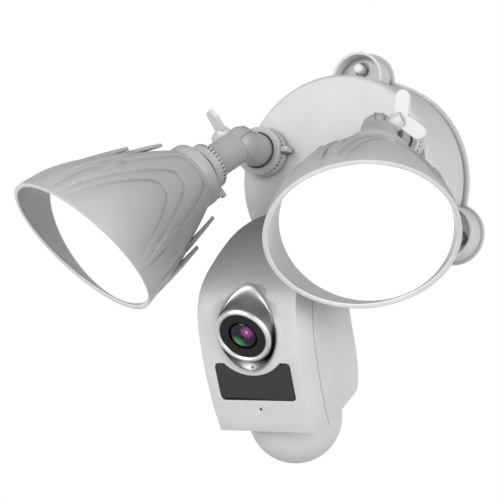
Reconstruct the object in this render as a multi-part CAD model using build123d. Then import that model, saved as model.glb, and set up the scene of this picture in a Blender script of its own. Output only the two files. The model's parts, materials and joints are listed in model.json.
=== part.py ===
from build123d import *
import math
import os

# Floodlight security camera: a round wall base that carries two aimable lamps and a camera head.
# Millimetres. The origin is the centre of the wall plane, +Z is up and -Y points out of the wall.

# --- driving dimensions ---------------------------------------------------------------------
FIT = 0.08                # radial clearance of a running fit
GAP = 0.3                 # clearance between pieces that move past each other

FACE_RADIUS = 56.5        # front face of the base
FACE_DEPTH = 52.0         # wall to front face
FLANGE_RADIUS = 63.0      # lip against the wall
BASE_WALL = 2.4
SHELL_FOOT = 1.5          # the base shell starts here, in front of the gasket
LIP_TOP = 4.5
EAR_ANGLES = (90, 210, 330)
EAR_DISTANCE = 62.0       # centre of a screw ear from the centre of the base
EAR_RADIUS = 15.8
EAR_HEIGHT = 17.8
EAR_WALL = 1.6
EAR_FLOOR = 9.0
SCREW_DISTANCE = 68.5     # ear screws from the centre of the base
PLATE_RADIUS = 53.0
PLATE_THICKNESS = 2.0
BOX_SCREW_SPAN = 88.9     # screw spacing of a round junction box
BOX_SCREW_HOLE = 2.4
CABLE_RADIUS = 4.5

ARM_X = 41.5              # arm sockets, left and right of the middle
ARM_Z = 15.6
TUBE_RADIUS = 9.4
WIRE_RADIUS = 6.3
COLLAR_RADIUS = 13.5
COLLAR_TOP = 57.2
RETAINER_RADIUS = 11.6
NOSE_RADIUS = 11.9
RING_RADIUS = 13.7
RING_LENGTH = 5.6
RING_NOTCHES = 36
RING_LIP = 0.9            # visible gap between a lock ring's lip and its tube
HEAD_RING_RADIUS = 13.1
HEAD_RING_LENGTH = 7.2
HEAD_RING_END = 31.6      # tilt axis to the front of the lamp's lock ring
KNUCKLE_HEIGHT = 83.3     # wall to the tilt axis
KNUCKLE_RADIUS = 10.2
TONGUE_HALF = 3.2         # half thickness of the lamp elbow's tongue in the base elbow's fork
SEAT = 6.1                # tilt axis position of the wing screw's seat
PIVOT_RADIUS = 2.5

MOUTH_DISTANCE = 116.6    # tilt axis to the middle of the lamp's mouth
MOUTH_SLANT = 16.0
HOOD_ANGLE = 48.0         # direction, about the lamp's axis, in which the mouth reaches furthest
SHADE_WALL = 2.3
CAP_START = 35.0
SHADE_START = 43.0
BLADE_ANGLES = (88, -88)

# how each arm is set: swivel about the socket, tilt about the knuckle, roll about the lamp's axis
ARMS = {
    "left": {"x": -ARM_X, "swivel": -33.1, "tilt": 40.7, "roll": 60.0,
             "wing": 54.0, "wing_side": -1, "base_tab": 0.0, "head_tab": 95.0},
    "right": {"x": ARM_X, "swivel": 24.3, "tilt": 38.1, "roll": 38.0,
              "wing": 0.0, "wing_side": 1, "base_tab": 215.0, "head_tab": 150.0},
}

HEAD_HALF = 31.0          # half width of the camera housing
HEAD_WALL = 2.2
PAN_Y = -66.0
TILT_Y = -83.0
NECK_Z = -38.0
LENS_Y = -155.7
LENS_Z = -91.7
LENS_PITCH = 34.0
BEZEL_RADIUS = 14.7
WINDOW_RADIUS = 12.0
DOME_Y = -98.3
DOME_Z = -131.6
DOME_RADIUS = 24.2

# --- small helpers --------------------------------------------------------------------------


def rod(radius, low, high):
    """Solid cylinder on the local Z axis between two heights."""
    return Pos(0, 0, low) * Cylinder(radius, high - low, align=(Align.CENTER, Align.CENTER, Align.MIN))


def tube(outer, inner, low, high):
    """Hollow cylinder on the local Z axis."""
    return rod(outer, low, high) - rod(inner, low - 1, high + 1)


def cross_rod(radius, low, high):
    """Solid cylinder on the local X axis."""
    return Rot(0, 90, 0) * rod(radius, low, high)


def block(x0, x1, y0, y1, z0, z1):
    """Box between two corners."""
    middle = Pos((x0 + x1) / 2, (y0 + y1) / 2, (z0 + z1) / 2)
    return middle * Box(x1 - x0, y1 - y0, z1 - z0)


def turned(points):
    """Revolve a closed outline of (radius, height) points about the local Z axis."""
    outline = make_face(Polyline(*points, close=True))
    return revolve(Plane.XZ * outline, Axis.Z)


def turned_curve(points, low, high):
    """Revolve the area between the Z axis and a smooth (radius, height) curve."""
    side = Spline(*points)
    rest = Polyline(points[-1], (0, high), (0, low), points[0])
    return revolve(Plane.XZ * make_face([side, rest]), Axis.Z)


def around(count, radius, piece, start=0.0):
    """Copies of a piece on a circle about the local Z axis."""
    step = 360 / count
    return [Rot(0, 0, start + step * i) * Pos(radius, 0, 0) * piece for i in range(count)]


def joined(pieces):
    """One solid from several overlapping ones."""
    total = pieces[0]
    for piece in pieces[1:]:
        total = total + piece
    return total


OUT = Rot(90, 0, 0)       # local +Z points out of the wall, local +Y points up


def save(node, shape):
    """Write one sub-part."""
    export_step(Compound(list(shape.solids())), f"parts/{node}.step")


# --- base -----------------------------------------------------------------------------------


def base_outline(margin, low, high):
    """The base's footprint, ears included, grown by a margin."""
    ear = rod(EAR_RADIUS + 1.9 + margin, low, high)
    ears = [Rot(0, 0, a) * Pos(EAR_DISTANCE, 0, 0) * ear for a in EAR_ANGLES]
    return joined([rod(FLANGE_RADIUS + margin, low, high)] + ears)


def bracket_outline(margin, low, high):
    """The mounting bracket's footprint: a disc with three tabs."""
    tab = block(0, SCREW_DISTANCE + 5 + margin, -6 - margin, 6 + margin, low, high)
    tabs = [Rot(0, 0, a) * tab for a in EAR_ANGLES]
    return joined([rod(PLATE_RADIUS + margin, low, high)] + tabs)


def mounting_bracket():
    """Steel plate that screws to the junction box."""
    plate = bracket_outline(0, 0, PLATE_THICKNESS)
    plate = plate - rod(10.0, -1, 5)
    for x in (-BOX_SCREW_SPAN / 2, BOX_SCREW_SPAN / 2):
        plate = plate - Pos(x, 0, 0) * rod(BOX_SCREW_HOLE, -1, 5)
    for a in EAR_ANGLES:
        plate = plate - Rot(0, 0, a) * Pos(SCREW_DISTANCE, 0, 0) * rod(1.95, -1, 5)
    return plate


def wall_gasket():
    """Foam seal between the shell's lip and the wall."""
    return base_outline(-0.6, 0, SHELL_FOOT) - bracket_outline(0.5, -1, SHELL_FOOT + 1)


def base_body(shrink, top):
    """The drum of the base, without its ears."""
    r = FACE_RADIUS - shrink
    foot = FLANGE_RADIUS - 2.3 - shrink
    return turned([(0, SHELL_FOOT), (foot, SHELL_FOOT), (foot, 6), (r + 0.9, top - 2), (r, top), (0, top)])


def base_shell():
    """Moulded drum with a lip, three open screw ears and the arm holes."""
    lip = base_outline(0, SHELL_FOOT, LIP_TOP)
    drum = base_body(0, FACE_DEPTH - 1.0) + rod(FACE_RADIUS - 1.2, FACE_DEPTH - 2, FACE_DEPTH)
    edge = FACE_DEPTH - 1
    rim_edge = turned([(0, edge), (FACE_RADIUS, edge), (FACE_RADIUS - 1.2, FACE_DEPTH), (0, FACE_DEPTH)])
    ear = turned([(0, SHELL_FOOT), (EAR_RADIUS + 0.5, SHELL_FOOT), (EAR_RADIUS, EAR_HEIGHT), (0, EAR_HEIGHT)])
    pocket = rod(EAR_RADIUS - EAR_WALL, EAR_FLOOR, EAR_HEIGHT + 1)
    body = lip
    for a in EAR_ANGLES:
        at_ear = Rot(0, 0, a) * Pos(EAR_DISTANCE, 0, 0)
        body = body + (at_ear * ear - at_ear * pocket)
    groove = tube(FLANGE_RADIUS + 1, FLANGE_RADIUS - 3.0, LIP_TOP, LIP_TOP + 0.9)
    body = body + drum + rim_edge - groove
    body = body - base_body(BASE_WALL, FACE_DEPTH - BASE_WALL) - rod(PLATE_RADIUS + 5.5, 0, SHELL_FOOT + 1)
    body = body - bracket_outline(0.4, 0, PLATE_THICKNESS + 0.2)
    for a in EAR_ANGLES:
        at_screw = Rot(0, 0, a) * Pos(SCREW_DISTANCE, 0, 0)
        body = body - at_screw * rod(2.1, 0, 20)
        body = body - at_screw * rod(4.4, EAR_FLOOR - 1.4, 20)
    for arm in ARMS.values():
        at_arm = Pos(arm["x"], ARM_Z, 0)
        body = body - at_arm * rod(NOSE_RADIUS - 0.2, 40, 60)
        body = body - at_arm * rod(RETAINER_RADIUS + GAP, 40, FACE_DEPTH - BASE_WALL)
    return body - Pos(0, NECK_Z, 0) * rod(5.5, 40, 60)


def ear_screws():
    """Three round-headed screws that hold the shell to the bracket."""
    head_start = EAR_FLOOR - 1.4
    head = turned([(0, head_start), (2.8, head_start), (2.8, 15.4), (2.0, 16.2), (0, 16.2)])
    screw = rod(1.9, 0.3, head_start + 1) + head
    return Compound(children=[Rot(0, 0, a) * Pos(SCREW_DISTANCE, 0, 0) * screw for a in EAR_ANGLES])


def cable_grommet():
    """Rubber bush for the supply cable in the bracket's middle hole."""
    flange = tube(13.0, CABLE_RADIUS, PLATE_THICKNESS, PLATE_THICKNESS + 2)
    return tube(9.9, CABLE_RADIUS, 0.4, PLATE_THICKNESS + 6) + flange


def terminal_block():
    """Three-way screw terminal."""
    body = block(-18, 10, -34, -22, 3.0, 14)
    for x in (-13, -4, 5):
        body = body - Pos(x, -28, 0) * rod(2.2, 8, 20)
        body = body - Pos(x, -28, 6.5) * Rot(90, 0, 0) * rod(1.8, -10, 10)
    return body


def driver_board():
    """Power supply board on three posts of its own."""
    board = rod(36, 24, 25.6) - rod(6, 20, 30)
    for piece in around(3, 31, rod(1.7, 20, 30), 60):
        board = board - piece
    return board


def driver_components():
    """Transformer, capacitors and coil that stand on the board."""
    top = 25.6
    parts = [block(-10, 10, 10, 28, top, top + 15)]
    parts += [Pos(x, -14, 0) * rod(4.2, top, top + 14) for x in (-18, -8)]
    parts += [Pos(15, -14, 0) * tube(7, 3.2, top, top + 7)]
    parts += [block(-27, -21, 4, 14, top, top + 8)]
    return Compound(children=parts)


def fixing_screws():
    """Posts with screws that hold the board to the bracket."""
    post = rod(3.2, PLATE_THICKNESS, 24) + rod(1.6, 23, 26)
    head = turned([(0, 25.6), (2.9, 25.6), (2.4, 27.4), (0, 27.4)])
    return Compound(children=around(3, 31, post + head, 60))


def arm_collar(arm):
    """Fixed collar in the face that an arm turns in, with a threaded nose for its lock ring."""
    collar = rod(COLLAR_RADIUS, FACE_DEPTH, COLLAR_TOP)
    groove = tube(COLLAR_RADIUS + 1, COLLAR_RADIUS - 0.5, 54.3, 54.9)
    nose = rod(NOSE_RADIUS, COLLAR_TOP - 1, COLLAR_TOP + 3.4)
    spigot = rod(NOSE_RADIUS - 0.3, FACE_DEPTH - BASE_WALL - 0.2, FACE_DEPTH + 1)
    return Pos(arm["x"], ARM_Z, 0) * (collar - groove + nose + spigot - rod(TUBE_RADIUS + FIT, 40, 70))


def camera_neck_socket():
    """Boss on the face with a fork that holds the camera's neck."""
    boss = Pos(0, NECK_Z, 0) * (rod(12.5, FACE_DEPTH, 56) + rod(5.3, 49, 56))
    reach = -PAN_Y
    ears = []
    for low, high in ((8.0, 11.0), (-11.0, -8.0)):
        plate = block(-8, 8, NECK_Z + low, NECK_Z + high, 55, reach)
        tip = Pos(0, 0, reach) * Rot(90, 0, 0) * rod(8, -(NECK_Z + high), -(NECK_Z + low))
        ears.append(plate + tip)
    pin_hole = Pos(0, 0, reach) * Rot(90, 0, 0) * rod(3 + FIT, 10, 60)
    return boss + ears[0] + ears[1] - pin_hole - Pos(0, NECK_Z, 0) * rod(3.0, 40, 60)


# --- arms -----------------------------------------------------------------------------------


def arm_frame(arm):
    """Local frame of an arm: Z leaves the wall along the swivel axis, X is the tilt axis."""
    return OUT * Pos(arm["x"], ARM_Z, 0) * Rot(0, 0, arm["swivel"])


def lamp_frame(arm):
    """Local frame at the knuckle: Z runs to the lamp, X is the tilt axis."""
    return arm_frame(arm) * Pos(0, 0, KNUCKLE_HEIGHT) * Rot(arm["tilt"], 0, 0)


def head_frame(arm):
    """The knuckle's frame rolled with the lamp head."""
    return lamp_frame(arm) * Rot(0, 0, arm["roll"])


def lock_ring(radius, start, length, notch_height):
    """Knurled nut: a threaded bore, a lip round the tube and notches in one edge."""
    end = start + length
    body = turned([(0, start), (radius, start), (radius, end - 0.5), (radius - 0.5, end), (0, end)])
    notch = block(-0.8, 1.0, -0.5, 0.5, notch_height - 2.6, notch_height + 2.6)
    for piece in around(RING_NOTCHES, radius, notch):
        body = body - piece
    bore = rod(NOSE_RADIUS + FIT, start - 1, start + 3.8)
    return body - bore - rod(TUBE_RADIUS + RING_LIP, start - 1, end + 1)


def ring_tab(radius, start, overhang, reach):
    """Finger tab that stands out of a lock ring and reaches back over its collar."""
    foot = block(radius - 1.0, radius + reach, -1.3, 1.3, start + 0.3, start + 4.4)
    blade = block(radius + GAP, radius + reach, -1.3, 1.3, start - overhang, start + 1)
    nose = Pos(radius + reach, 0, start + 3.2) * Rot(90, 0, 0) * rod(1.2, -1.3, 1.3)
    return foot + blade + nose


def arm_lock_ring(arm):
    """Lock ring at the base."""
    start = COLLAR_TOP + 0.2
    tab = Rot(0, 0, arm["base_tab"]) * ring_tab(RING_RADIUS, start, 4.8, 3.4)
    return Pos(arm["x"], ARM_Z, 0) * (lock_ring(RING_RADIUS, start, RING_LENGTH, start) + tab)


def flipped(arm, shape):
    """Mirror a left-hand knuckle detail so that the wing screw is on the arm's outer side."""
    return Rot(0, 0, 180) * shape if arm["wing_side"] < 0 else shape


def arm_elbow(arm):
    """Tube from the socket to the knuckle, which is a ball-ended fork."""
    at_knuckle = Pos(0, 0, KNUCKLE_HEIGHT)
    body = rod(TUBE_RADIUS, 44.5, KNUCKLE_HEIGHT) + at_knuckle * Sphere(KNUCKLE_RADIUS)
    slot = cross_rod(KNUCKLE_RADIUS + 0.4, -TONGUE_HALF - 0.15, TONGUE_HALF + 0.15)
    seat = cross_rod(9.6, SEAT, 15)
    pocket = hexagon(8.2, -7.1, -TONGUE_HALF)
    body = body - at_knuckle * (slot + flipped(arm, seat) + flipped(arm, pocket))
    body = body - rod(WIRE_RADIUS, 44, KNUCKLE_HEIGHT - 14) - rod(2.6, 44, KNUCKLE_HEIGHT - 9)
    bolt_hole = cross_rod(PIVOT_RADIUS + FIT, -7.6, 15)
    return body - at_knuckle * flipped(arm, bolt_hole)


def arm_retainer():
    """Snap ring on the elbow's end inside the base."""
    return tube(RETAINER_RADIUS, TUBE_RADIUS + 0.02, 45.2, 48.9)


def knuckle_relief():
    """Room beside the base elbow's tube for every tilt of the lamp's tube."""
    return [Rot(-tilt, 0, 0) * rod(TUBE_RADIUS + 0.4, -32, 0) for tilt in (46, 54, 62, 71)]


def lamp_elbow():
    """Tongue in the fork, with the tube that carries the lamp head."""
    body = rod(TUBE_RADIUS, 0, CAP_START + 8) - Sphere(KNUCKLE_RADIUS + 0.25)
    for cut in knuckle_relief():
        body = body - cut
    tongue = cross_rod(KNUCKLE_RADIUS, -TONGUE_HALF, TONGUE_HALF)
    body = body + tongue + block(-TONGUE_HALF, TONGUE_HALF, -6, 6, 5, 14)
    wires = rod(WIRE_RADIUS, 17, CAP_START + 9) + rod(2.2, 8, 18)
    return body - wires - cross_rod(PIVOT_RADIUS + FIT, -15, 15)


def hexagon(width, low, high):
    """Hexagonal prism on the local X axis, width across flats."""
    radius = width / math.sqrt(3)
    return Rot(0, 90, 0) * Pos(0, 0, low) * extrude(RegularPolygon(radius, 6), high - low)


def pivot_nut(arm):
    """Captive hexagon nut of the tilt axis, in the fork's thick cheek."""
    return flipped(arm, hexagon(8.0, -6.9, -3.6) - cross_rod(PIVOT_RADIUS + FIT, -15, 15))


def wing_screw(arm):
    """Thumb screw with two paddles in a V, on the local X axis."""
    start = SEAT + GAP
    body = cross_rod(4.2, start, start + 8) + cross_rod(5.0, start, start + 1.4)
    body = body + cross_rod(PIVOT_RADIUS, -7.0, start + 1)
    for lean in (63, -63):
        paddle = Pos(0, 0, -1.4) * extrude(SlotOverall(16.0, 7.6), 2.8)
        body = body + Pos(start + 7.3, 0, 0) * Rot(0, 0, lean) * Pos(7.6, 0, 0) * paddle
    flip = Rot(0, 180, 0) if arm["wing_side"] < 0 else Rot(0, 0, 0)
    return Rot(arm["wing"], 0, 0) * flip * body


def head_lock_ring(arm):
    """Lock ring between the lamp elbow and the head: its notched edge faces the knuckle."""
    ring = lock_ring(HEAD_RING_RADIUS, 0, HEAD_RING_LENGTH, HEAD_RING_LENGTH)
    tab = Rot(0, 0, arm["head_tab"]) * ring_tab(HEAD_RING_RADIUS, 0, 0, 4.6)
    return Pos(0, 0, HEAD_RING_END) * Rot(180, 0, 0) * (ring + tab)


def head_collar():
    """Cap behind the shade with the threaded nose that the head turns on."""
    nose = rod(NOSE_RADIUS, HEAD_RING_END - 3.4, CAP_START + 1)
    outline = [(0, CAP_START), (17.3, CAP_START), (18.3, CAP_START + 1), (18.3, SHADE_START)]
    cap = turned(outline + [(0, SHADE_START)])
    return nose + cap - rod(TUBE_RADIUS + FIT, 0, CAP_START + 8.4) - rod(WIRE_RADIUS + 1, 0, 60)


# --- lamp head ------------------------------------------------------------------------------


SHADE_PROFILE = (
    (18.3, 43), (23.0, 53), (28.6, 66), (34.6, 82), (39.4, 96), (42.5, 108), (43.9, 118), (43.6, 132),
)


def mouth_cut():
    """Everything in front of the slanted mouth plane."""
    lean = math.radians(MOUTH_SLANT)
    hood = math.radians(HOOD_ANGLE)
    normal = (-math.sin(lean) * math.cos(hood), -math.sin(lean) * math.sin(hood), math.cos(lean))
    across = (-math.sin(hood), math.cos(hood), 0)
    return extrude(Plane((0, 0, MOUTH_DISTANCE), x_dir=across, z_dir=normal) * Circle(80), 60)


def blade(points, half_angle):
    """Raised fin tip: a thin outline of (radius, height) swept part of a turn about the axis."""
    outline = Plane.XZ * make_face(Polyline(*points, close=True))
    return Rot(0, 0, -half_angle) * revolve(outline, Axis.Z, 2 * half_angle)


def lamp_shade():
    """Bell-shaped shade with a slanted mouth and fin tips on both sides."""
    low = SHADE_PROFILE[0][1]
    high = SHADE_PROFILE[-1][1]
    outer = turned_curve(SHADE_PROFILE, low, high)
    inner_points = [(r - SHADE_WALL, h) for r, h in SHADE_PROFILE]
    inner = turned_curve(inner_points, low, high) - rod(60, low - 1, low + 3)
    front = blade([(33.0, 80), (38.4, 90), (33.8, 63), (32.6, 63.5), (31.2, 73)], 9)
    rear = blade([(28.0, 68), (31.4, 73), (25.4, 45), (24.2, 45.5), (26.6, 62)], 11)
    body = outer
    for angle in BLADE_ANGLES:
        body = body + Rot(0, 0, angle) * front + Rot(0, 0, angle - math.copysign(6, angle)) * rear
    return body - inner - rod(WIRE_RADIUS + 1, 40, 50) - mouth_cut()


def heat_sink():
    """Aluminium plate with radial ribs behind it."""
    plate = rod(27.5, 72, 75)
    boss = rod(9, 48, 73)
    ribs = [Rot(0, 0, a) * block(6, 28, -1, 1, 50, 73) for a in range(0, 360, 36)]
    room = turned([(0, 40), (19.0, 50), (29.5, 76), (0, 76)])
    return (joined([boss] + ribs) & room) + plate - rod(4, 40, 80)


def led_board():
    """Round board that carries the emitters."""
    return rod(26.5, 75, 76.6) - rod(3.5, 70, 80)


def led_chips():
    """Two rings of square emitters."""
    chip = block(-1.7, 1.7, -1.7, 1.7, 76.6, 77.5)
    return Compound(children=around(6, 10, chip) + around(12, 20, chip))


def reflector():
    """Conical dish between the board and the diffuser."""
    return turned([(24.0, 77), (25.2, 77), (38.2, 100.6), (37.0, 100.6)])


def diffuser():
    """Slightly domed opal disc in the shade."""
    disc = rod(38.4, 101.0, 103.2)
    dome = turned_curve([(38.0, 103.2), (30.0, 104.6), (16.0, 105.6), (0.01, 106.0)], 103.2, 106.0)
    return disc + dome - rod(36.4, 100, 101.9)


# --- camera head ----------------------------------------------------------------------------

# height, half width, front and rear of the housing, from its foot to its crown
HEAD_SECTIONS = (
    (-142, 30.4, -127.0, -77.0), (-126, 30.7, -137.0, -75.0), (-116, 30.9, -142.0, -73.6),
    (-108, 31.0, -145.4, -73.2), (-98, 31.1, -149.1, -75.8), (-88, 31.2, -151.9, -80.0),
    (-78, 31.2, -152.8, -84.0), (-68, 30.8, -150.6, -86.2), (-58, 29.6, -144.2, -85.5),
    (-48, 27.4, -135.6, -82.0), (-40, 24.2, -128.6, -79.0), (-34, 19.6, -122.6, -77.0),
    (-30, 14.6, -117.0, -76.5), (-27, 9.4, -110.5, -77.0), (-25.2, 4.8, -104.0, -79.0),
)


def head_section(height, half, front, rear, inset):
    """One level outline of the housing: flat front, bevelled front corners and round rear corners."""
    scale = half / HEAD_HALF
    half = half - inset
    front = front + inset
    rear = rear - inset
    corner = min(20.0, 0.62 * half)
    face = half - 4.3 * scale
    bevel = front + 9.0 * scale
    cut = corner * (1 - math.cos(math.radians(45)))
    right = [
        Line((-face, front), (face, front)),
        Line((face, front), (half, bevel)),
        Line((half, bevel), (half, rear - corner)),
        ThreePointArc((half, rear - corner), (half - cut, rear - cut), (half - corner, rear)),
    ]
    left = [
        Line((half - corner, rear), (corner - half, rear)),
        ThreePointArc((corner - half, rear), (cut - half, rear - cut), (-half, rear - corner)),
        Line((-half, rear - corner), (-half, bevel)),
        Line((-half, bevel), (-face, front)),
    ]
    return Pos(0, 0, height) * make_face(right + left)


def head_body(inset):
    """The housing as one smooth solid, shrunk by a wall thickness."""
    levels = HEAD_SECTIONS if inset < 1 else HEAD_SECTIONS[:-2]
    faces = []
    for height, half, front, rear in levels:
        drop = inset * min(1.0, max(0.0, (height + 60) / 25))
        faces.append(head_section(height - drop, half, front, rear, inset))
    return loft(faces)


def side_prism(points):
    """Extrude a closed (y, z) outline across the whole housing."""
    return extrude(Plane.YZ * make_face(Polyline(*points, close=True)), 60, both=True)


SEAM_GROOVE = 0.45        # width of the shadow line between the two shells
BOTTOM_FRONT = (-131.0, -138.8)
BOTTOM_REAR = (-40.0, -93.3)


def below_bottom(lift):
    """Everything under the sloping underside."""
    y0, z0 = BOTTOM_FRONT
    y1, z1 = BOTTOM_REAR
    slope = [(y0 - 40, z0 + lift - 24), (y0, z0 + lift), (y1, z1 + lift)]
    return side_prism(slope + [(y1, -170), (y0 - 40, -170)])


def in_front_of_seam():
    """Everything in front of the joint between the two shells."""
    points = []
    for height, half, front, rear in HEAD_SECTIONS:
        points.append((front + 9.0 * half / HEAD_HALF, height))
    last = points[-1]
    return side_prism(points + [(last[0] + 1, -10), (-200, -10), (-200, -142)])


EYE_TOP = -66.3
EYE_BOTTOM = -108.8
EYE_HALF = 16.3
EYE_MIDDLE = -87.0


def eye_outline(margin):
    """Egg shape round the lens in (x, z), pointed end up."""
    half = EYE_HALF + margin
    top = EYE_TOP + margin
    bottom = EYE_BOTTOM - margin
    right = Spline((0, bottom), (half * 0.86, -99.0), (half, EYE_MIDDLE), (half * 0.62, -73.6), (0, top),
                   tangents=((1, 0), (-1, 0)))
    left = Spline((0, top), (-half * 0.62, -73.6), (-half, EYE_MIDDLE), (-half * 0.86, -99.0), (0, bottom),
                  tangents=((-1, 0), (1, 0)))
    return make_face([right, left])


FROM_FRONT = Rot(90, 0, 0)     # local Y becomes world Z, local Z points out of the wall


def eye_prism(margin, near, far):
    """The egg shape extruded between two distances from the wall."""
    return FROM_FRONT * Pos(0, 0, near) * extrude(eye_outline(margin), far - near)


def window_outline(margin):
    """Infrared window: a rounded panel with a round bite for the lens surround."""
    panel = Pos(0, -113.6) * RectangleRounded(41.2 + 2 * margin, 18.0 + 2 * margin, 2.2)
    return panel - Pos(0, -88.0) * Circle(22.6 - margin)


def window_prism(margin, near, far):
    """The infrared window's outline extruded out of the wall."""
    return FROM_FRONT * Pos(0, 0, near) * extrude(window_outline(margin), far - near)


def lens_frame():
    """Local frame of the lens: Z looks out along the optical axis."""
    return Pos(0, LENS_Y, LENS_Z) * Rot(90 + LENS_PITCH, 0, 0)


def dome_frame():
    """Local frame of the motion dome: Z points down, square to the underside."""
    slope = math.degrees(math.atan2(BOTTOM_REAR[1] - BOTTOM_FRONT[1], BOTTOM_REAR[0] - BOTTOM_FRONT[0]))
    return Pos(0, DOME_Y, DOME_Z) * Rot(180 + slope, 0, 0)


def neck_window():
    """Opening in the rear wall for the neck."""
    return block(-12.5, 12.5, -92, -60, -56, -30.4)


HATCH_Y = -112.0
HATCH_Z = -94.0
BUTTON_Z = -76.0


def hatch_block(margin, x0, x1):
    """Card hatch's outline on the left side, between two depths."""
    wide = 9.0 + margin
    tall = 6.0 + margin
    return block(x0, x1, HATCH_Y - wide, HATCH_Y + wide, HATCH_Z - tall, HATCH_Z + tall)


def camera_shell():
    """The whole hollow housing before it is parted."""
    shell = head_body(0) - below_bottom(0)
    return shell - (head_body(HEAD_WALL) - below_bottom(HEAD_WALL))


def camera_front_shell(shell):
    """Front of the housing with the openings for the lens, the infrared window and a microphone."""
    front = shell & in_front_of_seam()
    front = front - eye_prism(0.1, 100, 175) - window_prism(0.1, 100, 175)
    return front - Pos(0, 0, -127.0) * FROM_FRONT * rod(0.7, 100, 175)


def camera_rear_shell(shell):
    """Back of the housing, with the tilt ears, the dome seat, the hatch opening and a speaker grille."""
    seam = Pos(0, SEAM_GROOVE, 0) * in_front_of_seam()
    rear = shell - in_front_of_seam() - (seam - head_body(0.9))
    ears = [block(x, x + 4, TILT_Y - 9, TILT_Y + 5, NECK_Z - 8, NECK_Z + 6) for x in (9.5, -13.5)]
    ribs = [block(x, x + 20, TILT_Y - 9, TILT_Y + 3, NECK_Z - 10, NECK_Z - 7) for x in (9.5, -29.5)]
    inside = head_body(1.0)
    rear = rear - neck_window()
    for piece in ears + ribs:
        rear = rear + (piece & inside)
    rear = rear - Pos(0, TILT_Y, NECK_Z) * cross_rod(2.5, -20, 20)
    rear = rear - dome_frame() * rod(23.0, -30, 0)
    rear = rear - hatch_block(0.25, -40, -20)
    rear = rear - Pos(0, HATCH_Y, BUTTON_Z) * cross_rod(2.2, -40, -20)
    for i in range(5):
        rear = rear - block(-9, 9, -90, -60, -84 - 3.6 * i, -82.4 - 3.6 * i)
    return rear


def lens_surround():
    """Satin metal trim that sweeps from the egg-shaped opening out to the lens."""
    skirt = eye_prism(0, 138, 175) & head_body(0)
    face_plane = Plane((0, -147.0, -87.6), x_dir=(1, 0, 0), z_dir=(0, -0.9945, -0.1045))
    foot = face_plane * Pos(0, 87.6) * eye_outline(-0.2)
    r = BEZEL_RADIUS
    ring = make_face([ThreePointArc((0, -r), (r, 0), (0, r)), ThreePointArc((0, r), (-r, 0), (0, -r))])
    snout = loft([foot, lens_frame() * Pos(0, 0, -1.2) * ring])
    body = skirt + snout
    body = body - lens_frame() * (rod(WINDOW_RADIUS + 0.6, -40, 5) + rod(BEZEL_RADIUS + 0.05, -1.2, 8))
    return body - Pos(0, 0, -106.9) * FROM_FRONT * rod(0.7, 100, 175)


def lens_bezel():
    """Bright ring at the front of the lens."""
    back = [(WINDOW_RADIUS, -1.2), (BEZEL_RADIUS, -1.2), (BEZEL_RADIUS, -0.2)]
    front = [(BEZEL_RADIUS - 1.0, 0.9), (BEZEL_RADIUS - 1.8, 1.0), (WINDOW_RADIUS, 0.2)]
    return lens_frame() * turned(back + front)


def lens_window():
    """Black cover disc with a hole for the lens."""
    return lens_frame() * tube(WINDOW_RADIUS - 0.02, 7.6, -2.0, -0.2)


def lens_glass():
    """Front lens element, a low dome."""
    return lens_frame() * turned_curve([(7.4, -2.4), (6.7, -0.9), (3.9, 0.5), (0.01, 1.0)], -2.4, 1.0)


def lens_barrel():
    """Threaded barrel behind the lens."""
    return lens_frame() * (tube(11.0, 5.0, -22, -2.4) - tube(12, 8.0, -22, -8))


def sensor_board():
    """Small board with the image sensor in the barrel's end."""
    return lens_frame() * (rod(10.8, -23.6, -22) + block(-3.4, 3.4, -3.4, 3.4, -22, -20.6))


def infrared_window():
    """Smoked panel in front of the infrared emitters."""
    return window_prism(0, 100, 175) & (head_body(0.3) - head_body(1.9))


def infrared_leds():
    """Emitters behind the smoked panel."""
    led = FROM_FRONT * (rod(2.4, 134, 137) + Pos(0, 0, 137) * Sphere(2.0))
    return Compound(children=[Pos(x, 0, -115.0) * led for x in (-14.5, -7.0, 7.0, 14.5)])


def camera_board():
    """Main board of the camera, with its processor."""
    board = block(-18, 18, -112.6, -111, -118, -62)
    return board + block(-8, 8, -114.6, -112.6, -80, -66) + block(-16, -6, -114.0, -112.6, -108, -98)


def siren_speaker():
    """Speaker behind the grille."""
    face = Pos(0, 0, -91) * FROM_FRONT
    return face * (rod(12, 92, 98) + rod(8, 98, 103))


def microphones():
    """Two capsules behind the front holes."""
    upper = Pos(0, 0, -106.9) * FROM_FRONT * rod(2.0, 135.0, 137.5)
    lower = Pos(0, 0, -127.0) * FROM_FRONT * rod(2.0, 129.5, 132.0)
    return Compound(children=[upper, lower])


def motion_dome():
    """Opal dome under the housing."""
    ball = Sphere(DOME_RADIUS) - Sphere(DOME_RADIUS - 1.3)
    return dome_frame() * (ball & rod(40, -12.2, 40))


def motion_sensor():
    """Passive infrared sensor on its disc."""
    return dome_frame() * (rod(16, -9.6, -8.2) + rod(4.6, -8.2, -4.0))


def reset_button():
    """Small button on the left side."""
    return Pos(0, HATCH_Y, BUTTON_Z) * (cross_rod(1.9, -31.6, -26.0) + cross_rod(2.8, -28.4, -27.4))


def card_hatch():
    """Hinged cover of the card slot, flush with the side."""
    lid = hatch_block(0, -31.0, -29.4) - block(-40, -20, HATCH_Y + 8.6, HATCH_Y + 10, -110, -80)
    hinge = Pos(-30.2, HATCH_Y + 8.0, 0) * rod(0.8, HATCH_Z - 6.0, HATCH_Z + 6.0)
    return lid + hinge


def housing_screws():
    """Screws that hold the two shells together, from inside the rear shell."""
    screw = FROM_FRONT * (rod(1.4, 108, 136) + rod(2.6, 106, 108))
    places = [(-22, -104), (22, -104), (-22, -68), (22, -68)]
    return Compound(children=[Pos(x, 0, z) * screw for x, z in places])


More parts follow.
